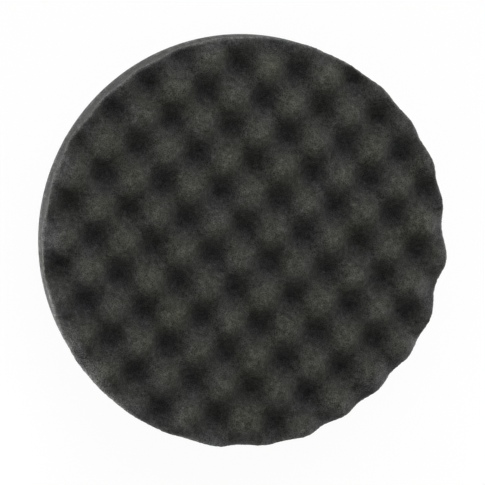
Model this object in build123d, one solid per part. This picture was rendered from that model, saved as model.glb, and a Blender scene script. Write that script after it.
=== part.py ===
from build123d import *
import math
import os

# A round polishing pad that lies on its loop-fabric back with the working face up.
# It is a laminate: brushed loops, their knitted ground, a hot-melt film and a foam
# disc with a convoluted face. One round die cuts all the plies at once.
# The origin is the centre of the back, where the pad rests. +Z points to the working
# face and X runs along the rows of the waffle. Lengths are in millimetres.

# Driving dimensions
pad_diameter = 203.2  # the die, 8 in
pile_height = 1.2  # brushed loops, from their tips to the ground
ground_thickness = 0.5  # knitted ground of the loop fabric
film_thickness = 0.3  # hot-melt film
foam_thickness = 26.6  # foam, from its flat back to the tops of the crests
wave_depth = 10.6  # from the tops of the crests to the bottoms of the valleys
wave_length_x = 29.7  # from valley to valley along a row
wave_length_y = 31.9  # from valley to valley across the rows
wave_start_x = -2.4  # a valley bottom near the centre of the die
wave_start_y = 5.7
facets_per_wave = 8  # flat steps along a diagonal, from one valley to the next

# Levels of the plies, from the rest face up
ground_bottom = pile_height
film_bottom = ground_bottom + ground_thickness
foam_bottom = film_bottom + film_thickness
crest_level = foam_bottom + foam_thickness
middle_level = crest_level - wave_depth / 2

pad_radius = pad_diameter / 2
facet_half_x = wave_length_x / (2 * facets_per_wave)
facet_half_y = wave_length_y / (2 * facets_per_wave)


def ply(bottom, thickness):
    """A plain round layer as wide as the die, with its underside at this level."""
    level = Plane.XY.offset(bottom)
    return extrude(level * Circle(pad_radius), thickness)


def face_level(x, y):
    """The height of the working face: crests and valleys that alternate like a chessboard."""
    along_row = math.cos(2 * math.pi * (x - wave_start_x) / wave_length_x)
    across_rows = math.cos(2 * math.pi * (y - wave_start_y) / wave_length_y)
    return middle_level - wave_depth / 2 * along_row * across_rows


def facet(column, row):
    """A diamond of the working face. Its four corners lie in one plane, because the
    waffle is the sum of two equal waves that cross along the diamond's sides."""
    corners = []
    for step_x, step_y in ((-1, 0), (0, -1), (1, 0), (0, 1)):
        x = wave_start_x + (column + step_x) * facet_half_x
        y = wave_start_y + (row + step_y) * facet_half_y
        corners.append((x, y, face_level(x, y)))
    return Face(Wire.make_polygon(corners))


def working_face():
    """The waffle as one sheet of diamonds that reaches past the die all round."""
    reach = pad_radius + 2 * max(facet_half_x, facet_half_y)
    columns = math.ceil((reach + abs(wave_start_x)) / facet_half_x)
    rows = math.ceil((reach + abs(wave_start_y)) / facet_half_y)
    facets = []
    for column in range(-columns, columns + 1):
        for row in range(-rows, rows + 1):
            x = wave_start_x + column * facet_half_x
            y = wave_start_y + row * facet_half_y
            if (column + row) % 2 and math.hypot(x, y) < reach:
                facets.append(facet(column, row))
    return Shell(facets)


def foam_disc():
    """The foam: a round blank, split along the waffle as the convoluting knife does."""
    blank = ply(foam_bottom, foam_thickness + wave_depth)
    halves = split(blank, bisect_by=working_face(), keep=Keep.BOTH).solids()
    return min(halves, key=lambda half: half.center().Z)


nodes = {
    "loop_pile": ply(0, pile_height),
    "loop_ground": ply(ground_bottom, ground_thickness),
    "bonding_film": ply(film_bottom, film_thickness),
    "foam_disc": foam_disc(),
}

os.makedirs("parts", exist_ok=True)
for name, solid in nodes.items():
    export_step(solid, f"parts/{name}.step")
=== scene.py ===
"""The looks of a round waffle-foam polishing pad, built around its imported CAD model."""

import itertools
import math

import bpy
import numpy as np
from mathutils import Matrix, Vector

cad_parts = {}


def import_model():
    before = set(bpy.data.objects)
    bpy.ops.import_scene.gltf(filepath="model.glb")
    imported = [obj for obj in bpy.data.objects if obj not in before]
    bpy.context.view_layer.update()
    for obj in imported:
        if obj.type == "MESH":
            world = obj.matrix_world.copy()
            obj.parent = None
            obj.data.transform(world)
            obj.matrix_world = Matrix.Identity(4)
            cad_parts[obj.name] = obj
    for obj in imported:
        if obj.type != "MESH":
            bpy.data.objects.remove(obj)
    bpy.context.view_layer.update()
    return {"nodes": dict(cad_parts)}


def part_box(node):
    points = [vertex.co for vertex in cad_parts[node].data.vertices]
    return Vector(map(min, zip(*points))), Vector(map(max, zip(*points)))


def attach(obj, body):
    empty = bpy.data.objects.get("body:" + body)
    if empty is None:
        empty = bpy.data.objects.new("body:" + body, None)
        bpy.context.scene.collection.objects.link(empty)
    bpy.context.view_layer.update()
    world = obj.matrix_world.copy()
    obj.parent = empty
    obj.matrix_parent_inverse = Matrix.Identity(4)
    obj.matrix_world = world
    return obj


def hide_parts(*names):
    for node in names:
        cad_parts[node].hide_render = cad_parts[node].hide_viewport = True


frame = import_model()

MM = 0.001
BODY = "root"

# The waffle of the foam's face, as in the CAD model
WAVE_LENGTH = np.array([29.7, 31.9]) * MM
WAVE_START = np.array([-2.4, 5.7]) * MM
WAVE_DEPTH = 10.6 * MM

# The cut wall leans a little, so the face sits off the middle of the backing
FACE_SHIFT = np.array([-0.48, -0.91]) * MM

# From the CAD's waffle to the photographed one: a small shift, and a slight stretch and skew.
# These two and FACE_SHIFT were fitted to the photograph.
WAVE_SHIFT = np.array([-0.07, -0.25]) * MM
WAVE_SKEW = np.array([[-0.0035, -0.0068], [-0.0045, -0.008]])

# The foam's vertex attribute for the share of the wall's paler colour, which paints light: 0 on the waffle
# face, rising a little near the rim as a painted glow, 1 on the rounded rim as a painted highlight, and
# between on the wall
PAINTED_LIGHT_ATTRIBUTE = "cut"

# The name of the pieces' UV map, laid out for baking
BAKE_MAP = "OFBake"


# ---------------------------------------------------------------- mesh helpers


def mesh_object(name, vertices, faces, material, bake_map):
    """A smooth mesh object with one material that rides on the pad.

    bake_map has one row for each face corner.
    """
    mesh = bpy.data.meshes.new(name)
    mesh.from_pydata(np.asarray(vertices, float).tolist(), [], faces)
    mesh.polygons.foreach_set("use_smooth", [True] * len(mesh.polygons))
    layer = mesh.uv_layers.new(name=BAKE_MAP)
    layer.uv.foreach_set("vector", np.ravel(bake_map).astype(np.float32))
    mesh.materials.append(material)
    mesh.update()
    piece = bpy.data.objects.new(name, mesh)
    bpy.context.scene.collection.objects.link(piece)
    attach(piece, BODY)
    return piece


def disc_points(steps):
    """A square grid of steps x steps cells, pressed into a disc of radius 1 with cells of equal area."""
    line = np.linspace(-1, 1, steps + 1)
    a, b = np.meshgrid(line, line, indexing="ij")
    wide = np.abs(a) > np.abs(b)
    radius = np.where(wide, a, b)
    with np.errstate(divide="ignore", invalid="ignore"):
        turn = np.where(wide, math.pi / 4 * b / a, math.pi / 2 - math.pi / 4 * a / b)
    turn = np.nan_to_num(turn)
    return np.stack([radius * np.cos(turn), radius * np.sin(turn)], -1).reshape(-1, 2)


def disc_faces(steps):
    """The quads of that grid, wound to face up."""
    corner = np.arange((steps + 1) ** 2).reshape(steps + 1, steps + 1)
    quads = [corner[:-1, :-1], corner[1:, :-1], corner[1:, 1:], corner[:-1, 1:]]
    return np.stack(quads, -1).reshape(-1, 4)


def disc_edge(steps):
    """The grid's rim vertices in order, anticlockwise from above."""
    corner = np.arange((steps + 1) ** 2).reshape(steps + 1, steps + 1)
    sides = [corner[:-1, 0], corner[-1, :-1], corner[:0:-1, -1], corner[0, :0:-1]]
    return np.concatenate(sides)


def quad_corners(*corners):
    """The bake map's rows for a run of quads, from the (across, up) places of their four corners."""
    return np.stack([np.column_stack(np.broadcast_arrays(*corner)) for corner in corners], 1).reshape(-1, 2)


NOISE_WAVES = 12  # in each octave


def wave_noise(points, size, seed, octaves=2):
    """Smooth noise of about -2 to 2 at each point, from sums of waves in random directions."""
    draw = np.random.default_rng(seed)
    total = np.zeros(len(points))
    for octave in range(octaves):
        for _ in range(NOISE_WAVES):
            way = draw.normal(size=points.shape[1])
            way *= 2 * math.pi / (size * np.linalg.norm(way)) * 2**octave * draw.uniform(0.7, 1.3)
            total += np.cos(points @ way + draw.uniform(0, 2 * math.pi)) / 2**octave
    return total / 5


CELL_PERIOD = 64  # cells, after which their pattern repeats


def cell_distance(points, size, seed):
    """For each point, the distance to the nearest foam cell's middle, in cells."""
    jitter = np.random.default_rng(seed).random((CELL_PERIOD, CELL_PERIOD, CELL_PERIOD, 3))
    scaled = points / size
    base = np.floor(scaled).astype(int)
    nearest = np.full(len(points), np.inf)
    for offset in itertools.product((-1, 0, 1), repeat=3):
        corner = base + offset
        middle = corner + jitter[tuple((corner % CELL_PERIOD).T)]
        nearest = np.minimum(nearest, np.linalg.norm(middle - scaled, axis=1))
    return nearest


def vertex_array(piece, attribute):
    found = np.empty(len(piece.data.vertices) * 3)
    piece.data.vertices.foreach_get(attribute, found)
    return found.reshape(-1, 3)


def move_vertices(piece, places):
    piece.data.vertices.foreach_set("co", np.ravel(places))
    piece.data.update()


# ------------------------------------------------------------------- materials


class Material:
    """Short calls for building a material's nodes."""

    def __init__(self, name):
        self.material = bpy.data.materials.new(name)
        self.material.use_nodes = True
        self.tree = self.material.node_tree
        self.shader = self.tree.nodes["Principled BSDF"]

    def add(self, kind, inputs=None, **settings):
        node = self.tree.nodes.new(kind)
        for key, value in settings.items():
            setattr(node, key, value)
        for socket, value in (inputs or {}).items():
            if isinstance(value, bpy.types.NodeSocket):
                self.tree.links.new(value, node.inputs[socket])
            else:
                node.inputs[socket].default_value = value
        return node

    def set(self, socket, value):
        """Sets or links a socket of the main shader."""
        if isinstance(value, bpy.types.NodeSocket):
            self.tree.links.new(value, self.shader.inputs[socket])
        else:
            self.shader.inputs[socket].default_value = value

    def place(self):
        return self.add("ShaderNodeTexCoord").outputs["Object"]

    def math(self, operation, a, b=0.0):
        return self.add("ShaderNodeMath", {0: a, 1: b}, operation=operation).outputs[0]

    def ramp(self, value, *stops):
        """A colour ramp through (position, colour) stops. A colour may be one grey number."""
        node = self.add("ShaderNodeValToRGB", {"Fac": value})
        elements = node.color_ramp.elements
        while len(elements) < len(stops):
            elements.new(0.5)
        for element, (position, colour) in zip(elements, stops):
            element.position = position
            element.color = (*(colour if isinstance(colour, tuple) else (colour,) * 3), 1)
        return node.outputs["Color"]

    def fit(self, value, low, high, to_low=0.0, to_high=1.0, kind="LINEAR"):
        """A value's range from low to high, made into another range."""
        inputs = {"Value": value, "From Min": low, "From Max": high, "To Min": to_low, "To Max": to_high}
        return self.add("ShaderNodeMapRange", inputs, interpolation_type=kind).outputs["Result"]

    def blend(self, kind, factor, a, b):
        """Two colours blended. The colour sockets of a Mix node are its inputs 6 and 7 and its output 2."""
        node = self.add("ShaderNodeMix", {0: factor, 6: a, 7: b}, data_type="RGBA", blend_type=kind)
        return node.outputs[2]

    def noise(self, scale, detail=2.0, roughness=0.5, place=None):
        inputs = {"Vector": place or self.place(), "Scale": scale, "Detail": detail, "Roughness": roughness}
        return self.add("ShaderNodeTexNoise", inputs).outputs["Fac"]

    def cells(self, scale, place):
        """How far each point is from the nearest wall between foam cells."""
        inputs = {"Vector": place, "Scale": scale, "Randomness": 1.0}
        return self.add("ShaderNodeTexVoronoi", inputs, feature="DISTANCE_TO_EDGE").outputs["Distance"]

    def bump(self, height, strength, distance, under=None):
        inputs = {"Height": height, "Strength": strength, "Distance": distance}
        if under:
            inputs["Normal"] = under
        return self.add("ShaderNodeBump", inputs).outputs["Normal"]


CELLS_PER_METRE = 950.0
SMALL_CELLS_PER_METRE = 2100.0

# Shares of the foam's colour, from the strut between two cells to the middle of a cell
STRUT_SHADES = ((0.0, 1.75), (0.08, 1.26), (0.18, 0.95), (0.42, 0.78))
SMALL_STRUT_SHADES = ((0.0, 1.3), (0.1, 1.06), (0.4, 0.86))

# Shares for the streaks down the cut wall and for the mottle of the face, and the face's uneven dye
STREAK_SHADES = ((0.3, 0.66), (0.7, 1.34))
MOTTLE_SHADES = ((0.3, 0.38), (0.5, 0.98), (0.7, 1.66))
DYE_TINTS = ((0.35, (0.985, 0.99, 1.045)), (0.65, (1.01, 1.01, 0.945)))

# The face's colour from valley to crest: painted shade darkens the valleys and a painted highlight lightens
# the crests
FACE_PAINTED_SHADE_COLOURS = (
    (0.0, (0.0238, 0.0238, 0.0246)),
    (0.5, (0.0314, 0.0319, 0.0289)),
    (1.0, (0.0422, 0.0432, 0.0365)),
)
# The wall's colour from its foot to the crests, partly painted light: paler than the face for the light from
# the sides, with a painted highlight at the foot and painted shade in the band below the rim
WALL_PAINTED_LIGHT_COLOURS = (
    (0.1, (0.140, 0.140, 0.136)),
    (0.24, (0.070, 0.070, 0.067)),
    (0.45, (0.065, 0.065, 0.0625)),
    (0.8, (0.079, 0.0792, 0.0762)),
)
MOTTLE_ON_WALL = 0.85

# The band inside the rim where the face's tint fades to grey, as distances in from the edge
GREY_BAND = (9.0 * MM, 2.0 * MM)
GREY_SHARE = 0.75


def foam_material(radius, valley, crest):
    """Dyed open-cell foam: dark windows between lighter struts, with painted shade in the valleys, a painted
    highlight on the crests and the rim, and a wall colour that is partly painted light.
    """
    m = Material("foam")
    place = m.place()
    cells = m.cells(CELLS_PER_METRE, place)
    small = m.cells(SMALL_CELLS_PER_METRE, place)
    struts = m.ramp(cells, *STRUT_SHADES)
    small_struts = m.ramp(small, *SMALL_STRUT_SHADES)
    struts = m.blend("MULTIPLY", 1.0, struts, small_struts)
    split = m.add("ShaderNodeSeparateXYZ", {0: place})
    around = m.add("ShaderNodeCombineXYZ", {0: split.outputs["X"], 1: split.outputs["Y"], 2: 0.0})
    out = m.add("ShaderNodeVectorMath", {0: around.outputs[0]}, operation="LENGTH").outputs["Value"]
    # Painted shade by height: darker in the valleys, lighter on the crests
    height = m.fit(split.outputs["Z"], valley, crest)
    face = m.ramp(height, *FACE_PAINTED_SHADE_COLOURS)
    grey_from, grey_to = (radius - distance for distance in GREY_BAND)
    near_rim = m.fit(out, grey_from, grey_to, 0.0, GREY_SHARE, kind="SMOOTHSTEP")
    face = m.blend("MIX", near_rim, face, m.add("ShaderNodeRGBToBW", {0: face}).outputs[0])
    # The share of the wall's paler colour: a painted highlight on the rim and a painted glow at the face's
    # edge
    rim = m.add("ShaderNodeAttribute", attribute_name=PAINTED_LIGHT_ATTRIBUTE).outputs["Fac"]
    # The wall's colour, partly painted light
    side = m.ramp(m.fit(split.outputs["Z"], 0.0, crest), *WALL_PAINTED_LIGHT_COLOURS)
    streaks = m.ramp(m.noise(420.0, 3.0, 0.7, around.outputs[0]), *STREAK_SHADES)
    side = m.blend("MULTIPLY", 1.0, side, streaks)
    base = m.blend("MIX", rim, face, side)
    mottle = m.ramp(m.noise(300.0, 4.0, 0.9, place), *MOTTLE_SHADES)
    mottle_share = m.fit(rim, 0.0, WALL_PAINTED_LIGHT_SHARE, 1.0, MOTTLE_ON_WALL)
    dye = m.ramp(m.noise(42.0, 3.0, 0.6, place), *DYE_TINTS)
    base = m.blend("MULTIPLY", 1.0, base, struts)
    base = m.blend("MULTIPLY", mottle_share, base, mottle)
    m.set("Base Color", m.blend("MULTIPLY", 1.0, base, dye))
    open_cells = m.bump(m.fit(cells, 0.0, 0.3, 1.0, 0.0), 0.6, 0.35 * MM)
    m.set("Normal", m.bump(m.fit(small, 0.0, 0.3, 1.0, 0.0), 0.4, 0.15 * MM, open_cells))
    m.set("Roughness", m.fit(cells, 0.0, 0.4, 0.85, 1.0))
    m.set("Specular IOR Level", 0.04)
    m.set("Sheen Weight", 0.06)
    m.set("Sheen Roughness", 0.5)
    return m.material


def film_material():
    """Black bonding film: satin plastic with faint ripples and scuffs."""
    m = Material("film")
    place = m.place()
    m.set("Base Color", m.ramp(m.noise(160.0, 3.0, 0.5, place), (0.3, 0.010), (0.7, 0.020)))
    m.set("Roughness", m.fit(m.noise(420.0, 2.0, 0.5, place), 0.3, 0.7, 0.28, 0.5))
    m.set("Normal", m.bump(m.noise(260.0, 2.0, 0.5, place), 0.3, 0.1 * MM))
    return m.material


def knit_material():
    """The backing's knit ground: narrow wales crossed by courses of stitches."""
    m = Material("knit")
    place = m.place()
    wander = m.add("ShaderNodeTexNoise", {"Vector": place, "Scale": 120.0}).outputs["Color"]
    bent = m.add("ShaderNodeVectorMath", {0: wander, 1: (0.0002, 0.0002, 0.0)}, operation="MULTIPLY")
    moved = m.add("ShaderNodeVectorMath", {0: place, 1: bent.outputs[0]}, operation="ADD").outputs[0]
    wale = m.add(
        "ShaderNodeTexWave", {"Vector": moved, "Scale": 1 / (WALE * 3.18)}, bands_direction="X"
    ).outputs["Fac"]
    course = m.add(
        "ShaderNodeTexWave", {"Vector": moved, "Scale": 1 / (LOOP_PITCH * 1.59)}, bands_direction="Y"
    ).outputs["Fac"]
    stitch = m.math("MULTIPLY", wale, m.fit(course, 0.0, 1.0, 0.55, 1.0))
    fibres = m.noise(5200.0, 3.0, 0.7, place)
    tone = m.ramp(stitch, (0.0, 0.006), (1.0, (0.030, 0.030, 0.031)))
    m.set("Base Color", m.blend("MULTIPLY", 1.0, tone, m.ramp(fibres, (0.3, 0.35), (0.7, 1.65))))
    m.set("Roughness", m.fit(stitch, 0.0, 1.0, 0.95, 0.75))
    m.set("Normal", m.bump(fibres, 0.8, 0.12 * MM, m.bump(stitch, 0.8, 0.25 * MM)))
    m.set("Sheen Weight", 0.15)
    m.set("Sheen Roughness", 0.5)
    return m.material


def yarn_material():
    """Black nylon loop yarn, with fine filaments along it and a soft lustre."""
    m = Material("yarn")
    place = m.place()
    tone = m.ramp(m.noise(60.0, 4.0, 0.7, place), (0.3, (0.026, 0.026, 0.027)), (0.7, (0.078, 0.078, 0.080)))
    filament = m.noise(6500.0, 2.0, 0.6, place)
    m.set("Base Color", m.blend("MULTIPLY", 1.0, tone, m.ramp(filament, (0.3, 0.6), (0.7, 1.35))))
    m.set("Roughness", m.fit(filament, 0.3, 0.7, 0.62, 0.42))
    m.set("Normal", m.bump(filament, 0.6, 0.06 * MM))
    m.set("Sheen Weight", 0.3)
    m.set("Sheen Roughness", 0.4)
    return m.material


# ------------------------------------------------------------------------ foam


FACE_STEPS = 250
WALL_STEP = 0.95 * MM
RIM_ROUNDING = 1.5 * MM
RIM_FLARE = 0.5 * MM
WALL_HOLLOW = 0.8 * MM

# The share of the wall's paler colour on the rim's rows from the face outwards (a painted highlight), on the
# wall, and at the face's edge (a painted glow), where it fades out over the glow's width
RIM_PAINTED_HIGHLIGHT = (0.45, 0.75, 0.95, 1.0)
RIM_ROWS = len(RIM_PAINTED_HIGHLIGHT)
WALL_PAINTED_LIGHT_SHARE = 0.5
RIM_PAINTED_GLOW = 0.14
RIM_PAINTED_GLOW_WIDTH = 3.0 * MM

# Unevenness of the waffle: how much, over what distance, and the seeds of its noise
BEND, BEND_SIZE, BEND_SEEDS = 0.35 * MM, 55 * MM, (3, 4)
DEPTH_SHARE, DEPTH_SIZE, DEPTH_SEED = 0.03, 45 * MM, 5
SWELL, SWELL_SIZE, SWELL_SEED = 0.12 * MM, 20 * MM, 6

# Relief of the foam's surface
CELL, CELL_DEPTH, CELL_SEED = 1.0 * MM, 0.28 * MM, 7
GRAIN, GRAIN_SIZE, GRAIN_SEED = 0.12 * MM, 3.2 * MM, 8
FLAT_FOOT = 0.3 * MM  # the strip above the underside that stays smooth


def waffle(places, middle):
    """The height of the foam's face, slightly uneven as knife-cut foam is."""
    bent = places - places @ WAVE_SKEW.T - WAVE_SHIFT - WAVE_START
    bent = bent + BEND * np.stack([wave_noise(places, BEND_SIZE, seed) for seed in BEND_SEEDS], -1)
    swing = np.cos(2 * math.pi * bent / WAVE_LENGTH)
    depth = WAVE_DEPTH * (1 + DEPTH_SHARE * wave_noise(places, DEPTH_SIZE, DEPTH_SEED))
    swell = SWELL * wave_noise(places, SWELL_SIZE, SWELL_SEED)
    return middle - depth / 2 * swing[:, 0] * swing[:, 1] + swell


def foam():
    """The waffle face with its cell relief, the rounded rim, the hollow wall and the flat underside."""
    low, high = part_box("foam_disc")
    radius = (high.x - low.x) / 2
    middle = high.z - WAVE_DEPTH / 2
    flat = disc_points(FACE_STEPS)
    edge = disc_edge(FACE_STEPS)
    inner = radius + RIM_FLARE - RIM_ROUNDING
    places = flat * inner + FACE_SHIFT
    rows = [np.column_stack([places, waffle(places, middle)])]
    for row in range(1, RIM_ROWS + 1):
        turn = math.pi / 2 * row / RIM_ROWS
        places = flat[edge] * (inner + RIM_ROUNDING * math.sin(turn)) + FACE_SHIFT
        drop = RIM_ROUNDING * (1 - math.cos(turn))
        rows.append(np.column_stack([places, waffle(places, middle) - drop]))
    top = rows[-1]
    base = np.column_stack([flat[edge] * radius, np.full(len(edge), low.z)])
    count = int(round((top[:, 2].mean() - low.z) / WALL_STEP))
    for row in range(1, count + 1):
        share = row / count
        wall = top + (base - top) * share
        wall[:, :2] -= flat[edge] * WALL_HOLLOW * math.sin(math.pi * share)
        rows.append(wall)
    vertices = np.concatenate(rows)

    upper = edge
    start = len(rows[0])
    faces = [disc_faces(FACE_STEPS)]
    for _ in rows[1:]:
        lower = np.arange(start, start + len(edge))
        faces.append(np.stack([upper, lower, np.roll(lower, -1), np.roll(upper, -1)], -1))
        upper = lower
        start += len(edge)
    all_faces = np.concatenate(faces).tolist() + [upper[::-1].tolist()]
    piece = mesh_object(
        "foam", vertices, all_faces, foam_material(radius, high.z - WAVE_DEPTH, high.z),
        foam_map(flat, edge, rows, radius),
    )
    # The share of the wall's paler colour: a painted glow at the face's edge and a painted highlight on the
    # rim's rows
    cut = np.full(len(vertices), WALL_PAINTED_LIGHT_SHARE)
    inset = inner * (1 - np.linalg.norm(flat, axis=1))
    cut[: len(rows[0])] = RIM_PAINTED_GLOW * np.clip(1 - inset / RIM_PAINTED_GLOW_WIDTH, 0, 1) ** 2
    for row, share in enumerate(RIM_PAINTED_HIGHLIGHT):
        first = len(rows[0]) + row * len(edge)
        cut[first : first + len(edge)] = share
    piece.data.attributes.new(PAINTED_LIGHT_ATTRIBUTE, "FLOAT", "POINT").data.foreach_set("value", cut)
    places, normals = vertex_array(piece, "co"), vertex_array(piece, "normal")
    relief = (cell_distance(places, CELL, CELL_SEED) - 0.5) * CELL_DEPTH
    relief += GRAIN * wave_noise(places, GRAIN_SIZE, GRAIN_SEED, 1)
    relief[places[:, 2] < low.z + FLAT_FOOT] = 0
    move_vertices(piece, places + normals * relief[:, None])
    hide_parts("foam_disc")
    return piece


# The foam's bake map: the face's disc, the wall's three strips, and the underside's disc
MAP_FACE_MIDDLE, MAP_FACE_RADIUS = 0.34, 0.33
MAP_STRIPS, MAP_STRIP_START, MAP_STRIP_PITCH = 3, 0.70, 0.10
MAP_STRIP_FOOT, MAP_STRIP_LENGTH = 0.01, 0.66
MAP_UNDER_MIDDLE, MAP_UNDER_RADIUS = np.array([0.2, 0.84]), 0.14


def foam_map(flat, edge, rows, radius):
    """The face as a disc, the wall as three upright strips beside it, the underside as a small disc."""
    face = MAP_FACE_MIDDLE + MAP_FACE_RADIUS * flat
    scale = MAP_FACE_RADIUS / radius
    corners = [face[disc_faces(FACE_STEPS)].reshape(-1, 2)]
    count = len(edge)
    turn = np.arange(count + 1) / count * MAP_STRIPS
    strip = np.minimum(turn[:-1].astype(int), MAP_STRIPS - 1)
    start = MAP_STRIP_FOOT + MAP_STRIP_LENGTH * (turn[:-1] - strip)
    end = MAP_STRIP_FOOT + MAP_STRIP_LENGTH * (turn[1:] - strip)
    across = MAP_STRIP_START + MAP_STRIP_PITCH * strip
    for row in range(len(rows) - 1):
        high = (len(rows) - 1 - row) * WALL_STEP * scale
        low = high - WALL_STEP * scale
        upper, lower = across + high, across + low
        corners.append(quad_corners((upper, start), (lower, start), (lower, end), (upper, end)))
    corners.append((MAP_UNDER_MIDDLE + MAP_UNDER_RADIUS * flat[edge])[::-1])
    return np.concatenate(corners)


# --------------------------------------------------------------------- backing


WALE = 1.3 * MM
LOOP_PITCH = 1.75 * MM
LOOP_STEPS = 7
YARN = 0.16 * MM  # its radius
YARN_SIDES = 3
YARN_SEED = 21
NAP_SIZE, NAP_SEEDS = 32 * MM, (13, 14)  # patches of loops that lean one way
PILE_INSET = 0.9 * MM

# Each band of loops ends at this share of the radius, and the four hold about as much yarn
BANDS = {"loops_far_left": -0.404, "loops_left": 0.0, "loops_right": 0.404, "loops_far_right": 1.0}

GROUND_STEPS = 120
GROUND_INSET = 0.15 * MM
TRIM_SHARE, TRIM_SIZE, TRIM_SEED = 0.0012, 0.12, 11  # the uneven trim of its edge, for a radius of 1

# The ground's bake map: its two discs side by side, and its edge as a strip above them
MAP_TOP_MIDDLE, MAP_BOTTOM_MIDDLE, MAP_GROUND_RADIUS = 0.25, np.array([0.75, 0.25]), 0.24
MAP_EDGE_TOP, MAP_EDGE_FOOT = 0.60, 0.58
MAP_MARGIN = 0.01
MAP_LENGTH = 0.98

# The share of its column of the bake map that each side of a yarn takes, and the gap before it
MAP_YARN_SIDE, MAP_YARN_GAP = 0.3, 0.05


def ground():
    """The knit ground of the loop backing: a thin closed sheet with a trimmed, slightly wavy edge."""
    low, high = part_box("loop_ground")
    radius = (high.x - low.x) / 2
    flat = disc_points(GROUND_STEPS)
    edge = disc_edge(GROUND_STEPS)
    trim = 1 + TRIM_SHARE * wave_noise(flat[edge], TRIM_SIZE, TRIM_SEED)
    places = flat * (radius - GROUND_INSET)
    places[edge] *= trim[:, None]
    top = np.column_stack([places, np.full(len(places), high.z)])
    bottom = np.column_stack([places, np.full(len(places), low.z)])
    faces = disc_faces(GROUND_STEPS)
    count = len(top)
    side = np.stack([edge, edge + count, np.roll(edge, -1) + count, np.roll(edge, -1)], -1)
    everything = np.concatenate([faces, faces[:, ::-1] + count, side])
    discs = [middle + MAP_GROUND_RADIUS * flat for middle in (MAP_TOP_MIDDLE, MAP_BOTTOM_MIDDLE)]
    both = np.concatenate(discs)
    turn = np.arange(len(edge)) / len(edge)
    start = MAP_MARGIN + MAP_LENGTH * turn
    end = MAP_MARGIN + MAP_LENGTH * (turn + 1 / len(edge))
    strip = quad_corners(
        (start, MAP_EDGE_TOP), (start, MAP_EDGE_FOOT), (end, MAP_EDGE_FOOT), (end, MAP_EDGE_TOP)
    )
    corners = [both[faces].reshape(-1, 2), both[faces[:, ::-1] + count].reshape(-1, 2), strip]
    piece = mesh_object(
        "knit_ground", np.concatenate([top, bottom]), everything.tolist(), knit_material(),
        np.concatenate(corners),
    )
    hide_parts("loop_ground")
    return piece


def yarn_row(across, half, root, tip, draw):
    """One wale of loops: the points of its yarn and, for each, the way across its loop."""
    loops = int(2 * half / LOOP_PITCH)
    phase = np.arange(loops * LOOP_STEPS + 1) / LOOP_STEPS
    loop = np.minimum(phase.astype(int), loops - 1)
    turn = 2 * math.pi * phase
    height = (root - tip) * draw.uniform(0.72, 1.0, loops)[loop]
    width = draw.uniform(0.35, 0.62, loops)[loop] * MM
    facing = draw.normal(0.0, 0.5, loops)[loop]
    middle = np.column_stack([np.full(loops, across), (np.arange(loops) - loops / 2) * LOOP_PITCH])
    nap = np.stack([wave_noise(middle, NAP_SIZE, seed) for seed in NAP_SEEDS], -1)
    lean = (draw.normal([0.0, 0.3], 0.24, (loops, 2)) + 0.3 * nap)[loop] * MM
    sink = (1 - np.cos(turn)) / 2
    swing = np.sin(turn)
    x = across + width * swing * np.cos(facing) + lean[:, 0] * sink
    y = (phase - loops / 2) * LOOP_PITCH + width * swing * np.sin(facing) + lean[:, 1] * sink
    z = root - height * sink
    points = np.stack([x, y, z], -1)
    way = np.stack([-np.sin(facing), np.cos(facing), 0 * facing], -1)
    return points, way


def tube(points, way, radius):
    """A ring of vertices round each point of a yarn."""
    along = np.gradient(points, axis=0)
    along /= np.linalg.norm(along, axis=1, keepdims=True)
    side = way - along * (along * way).sum(1, keepdims=True)
    side /= np.linalg.norm(side, axis=1, keepdims=True)
    up = np.cross(along, side)
    turns = np.arange(YARN_SIDES) * 2 * math.pi / YARN_SIDES
    ring = np.cos(turns)[:, None] * side[:, None] + np.sin(turns)[:, None] * up[:, None]
    return (points[:, None] + radius * ring).reshape(-1, 3)


def pile():
    """Loops of yarn over the whole back, as four bands of wales."""
    low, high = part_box("loop_pile")
    radius = (high.x - low.x) / 2 - PILE_INSET
    wales = int(2 * radius / WALE)
    lines = (np.arange(wales) - (wales - 1) / 2) * WALE
    draw = np.random.default_rng(YARN_SEED)
    material = yarn_material()
    bands = {name: [] for name in BANDS}
    for line in lines:
        half = math.sqrt(max(radius**2 - line**2, 0))
        if half < 2 * LOOP_PITCH:
            continue
        band = next(name for name, end in BANDS.items() if line < end * radius)
        points, way = yarn_row(line, half, high.z + YARN, low.z + YARN, draw)
        bands[band].append((points, way))
    pieces = []
    for name, band in bands.items():
        vertices, faces, corners = [], [], []
        start = 0
        for column, (points, way) in enumerate(band):
            vertices.append(tube(points, way, YARN))
            count = len(points)
            ring = start + YARN_SIDES * np.arange(count - 1)
            up = np.arange(count) / (count - 1) * MAP_LENGTH + MAP_MARGIN
            for side in range(YARN_SIDES):
                after = (side + 1) % YARN_SIDES
                next_ring = ring + YARN_SIDES
                faces.append(np.stack([ring + side, next_ring + side, next_ring + after, ring + after], -1))
                left = (column + MAP_YARN_GAP + MAP_YARN_SIDE * side) / len(band)
                right = left + MAP_YARN_SIDE / len(band)
                foot, head = up[:-1], up[1:]
                corners.append(quad_corners((left, foot), (left, head), (right, head), (right, foot)))
            start += YARN_SIDES * count
        piece = mesh_object(
            name, np.concatenate(vertices), np.concatenate(faces).tolist(), material,
            np.concatenate(corners),
        )
        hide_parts("loop_pile")
        pieces.append(piece)
    return pieces


# ----------------------------------------------------------------------- stage


FLOOR_SIDES = 128
FLOOR_RADIUS = 4.0
FLOOR_HOLE_INSET = 1.5 * MM
FLOOR_WHITENESS = 0.95  # the share of plain white that the camera sees in it


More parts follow.
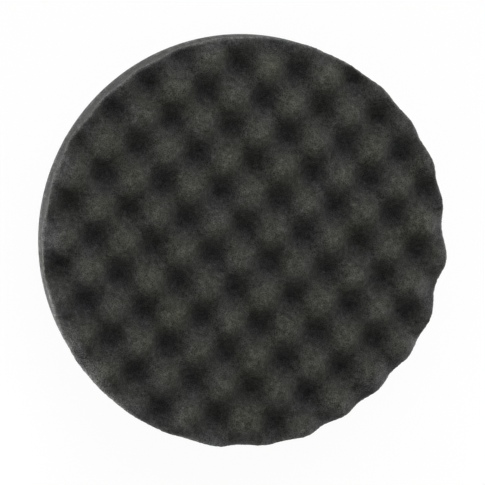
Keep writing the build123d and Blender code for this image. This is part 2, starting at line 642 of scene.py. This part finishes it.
def floor():
    """A pale floor round the pad. Its hole is hidden by the pad and lets the back be seen from below."""
    low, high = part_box("foam_disc")
    hole = (high.x - low.x) / 2 - FLOOR_HOLE_INSET
    turns = np.linspace(0, 2 * math.pi, FLOOR_SIDES, endpoint=False)
    ring = np.stack([np.cos(turns), np.sin(turns), 0 * turns], -1)
    vertices = np.concatenate([ring * hole, ring * FLOOR_RADIUS])
    inner = np.arange(FLOOR_SIDES)
    outer = inner + FLOOR_SIDES
    faces = np.stack([inner, outer, np.roll(outer, -1), np.roll(inner, -1)], -1)
    mesh = bpy.data.meshes.new("floor")
    mesh.from_pydata(vertices.tolist(), [], faces.tolist())
    plate = bpy.data.objects.new("floor", mesh)
    bpy.context.scene.collection.objects.link(plate)
    m = Material("floor")
    m.set("Base Color", (0.9, 0.9, 0.9, 1))
    m.set("Roughness", 0.9)
    path = m.add("ShaderNodeLightPath")
    seen = m.math("MULTIPLY", path.outputs["Is Camera Ray"], FLOOR_WHITENESS)
    white = m.add("ShaderNodeEmission", {"Color": (1, 1, 1, 1), "Strength": 1.0})
    mix = m.add("ShaderNodeMixShader", {0: seen, 1: m.shader.outputs[0], 2: white.outputs[0]})
    m.tree.links.new(mix.outputs[0], m.tree.nodes["Material Output"].inputs["Surface"])
    mesh.materials.append(m.material)


# The light all round: the strength of the bright band at the horizon, the lowest and highest Z
# of the directions that its ramp covers, and along that ramp its level as shares of the band's
HORIZON = 4.0
SKY_RANGE = (-0.05, 0.25)
SKY = ((0.15, 0.12), (0.18, 1.0), (0.35, 0.75), (0.62, 0.11))


def world():
    """Soft grey light from all round, brightest just above the horizon, and white behind the pad."""
    scene = bpy.context.scene
    scene.world = bpy.data.worlds.new("studio")
    scene.world.use_nodes = True
    nodes, links = scene.world.node_tree.nodes, scene.world.node_tree.links
    nodes.clear()
    way = nodes.new("ShaderNodeTexCoord").outputs["Generated"]
    split = nodes.new("ShaderNodeSeparateXYZ")
    links.new(way, split.inputs[0])
    rise = nodes.new("ShaderNodeMapRange")
    rise.inputs["From Min"].default_value, rise.inputs["From Max"].default_value = SKY_RANGE
    links.new(split.outputs["Z"], rise.inputs["Value"])
    sky = nodes.new("ShaderNodeValToRGB")
    while len(sky.color_ramp.elements) < len(SKY):
        sky.color_ramp.elements.new(0.5)
    for element, (position, level) in zip(sky.color_ramp.elements, SKY):
        element.position = position
        element.color = (level, level, level, 1)
    links.new(rise.outputs["Result"], sky.inputs["Fac"])
    soft = nodes.new("ShaderNodeBackground")
    soft.inputs["Strength"].default_value = HORIZON
    links.new(sky.outputs["Color"], soft.inputs["Color"])
    white = nodes.new("ShaderNodeBackground")
    white.inputs["Color"].default_value = (1, 1, 1, 1)
    path = nodes.new("ShaderNodeLightPath")
    seen = path.outputs["Is Camera Ray"]
    for ray in ("Is Glossy Ray", "Is Transmission Ray"):
        either = nodes.new("ShaderNodeMath")
        either.operation = "MAXIMUM"
        links.new(seen, either.inputs[0])
        links.new(path.outputs[ray], either.inputs[1])
        seen = either.outputs[0]
    mix = nodes.new("ShaderNodeMixShader")
    links.new(seen, mix.inputs[0])
    links.new(soft.outputs[0], mix.inputs[1])
    links.new(white.outputs[0], mix.inputs[2])
    output = nodes.new("ShaderNodeOutputWorld")
    links.new(mix.outputs[0], output.inputs["Surface"])


PICTURE_UP_TURN = math.radians(8.95)  # the picture's up, anticlockwise from +Y
LAMP_DISTANCE = 1.25
CARD_HEIGHT = 0.01  # of the two strips of light that stand in for the table's glow near the wall


def soft_lamp(name, turn, rise, width, height, power, away=LAMP_DISTANCE):
    """A soft box aimed at the pad.

    turn is in degrees anticlockwise from the picture's right, and rise in degrees above the floor.
    """
    data = bpy.data.lights.new(name, "AREA")
    data.shape = "RECTANGLE"
    data.size, data.size_y = width, height
    data.energy = power
    lamp = bpy.data.objects.new(name, data)
    bpy.context.scene.collection.objects.link(lamp)
    turn, rise = math.radians(turn) + PICTURE_UP_TURN, math.radians(rise)
    way = (math.cos(rise) * math.cos(turn), math.cos(rise) * math.sin(turn), math.sin(rise))
    lamp.location = away * Vector(way)
    lamp.visible_camera = False
    lamp.rotation_euler = (-lamp.location).to_track_quat("-Z", "Y").to_euler()


# The photograph's camera, fitted to the pad's outline and valleys
LENS = 214.4
CAMERA_TILT = math.radians(14.149)  # from straight above
CAMERA_TURN = math.radians(160.92)  # the side it is tipped towards, anticlockwise from +X
CAMERA_DISTANCE = 1.4509
AIM = Vector((3.276, -1.86, 0)) * MM  # from the middle of the face's outline


def camera():
    """The photograph's view: almost straight down, tipped towards the pad's left, rolled a little."""
    data = bpy.data.cameras.new("camera")
    data.lens = LENS
    data.sensor_width = 36.0
    data.clip_start = 0.05
    eye = bpy.data.objects.new("camera", data)
    bpy.context.scene.collection.objects.link(eye)
    side = Vector((math.cos(CAMERA_TURN), math.sin(CAMERA_TURN), 0))
    shift = Vector((*FACE_SHIFT, 0))
    above = Vector((0, 0, math.cos(CAMERA_TILT) * CAMERA_DISTANCE))
    place = side * math.sin(CAMERA_TILT) * CAMERA_DISTANCE + above + shift
    aim = AIM + shift
    up = Vector((-math.sin(PICTURE_UP_TURN), math.cos(PICTURE_UP_TURN), 0))
    back = (place - aim).normalized()
    right = up.cross(back).normalized()
    eye.matrix_world = Matrix.Translation(place) @ Matrix(
        (right, back.cross(right), back)
    ).transposed().to_4x4()
    bpy.context.scene.camera = eye


# ------------------------------------------------------------------------ make

foam()
film = frame["nodes"]["bonding_film"]
film.data.materials.clear()
film.data.materials.append(film_material())
knit = ground()
loops = pile()
floor()
world()
soft_lamp("key", turn=79, rise=32, width=1.5, height=0.8, power=14.2)
soft_lamp("under", turn=150, rise=-32, width=0.9, height=0.9, power=11.0)
soft_lamp("left", turn=200, rise=6.5, width=1.0, height=0.26, power=8.3)
soft_lamp("left_card", turn=205, rise=1.6, width=0.14, height=CARD_HEIGHT, power=0.12, away=0.18)
soft_lamp("right_card", turn=-15, rise=1.6, width=0.3, height=CARD_HEIGHT, power=0.22, away=0.2)
camera()

bpy.context.scene.view_settings.view_transform = "Standard"
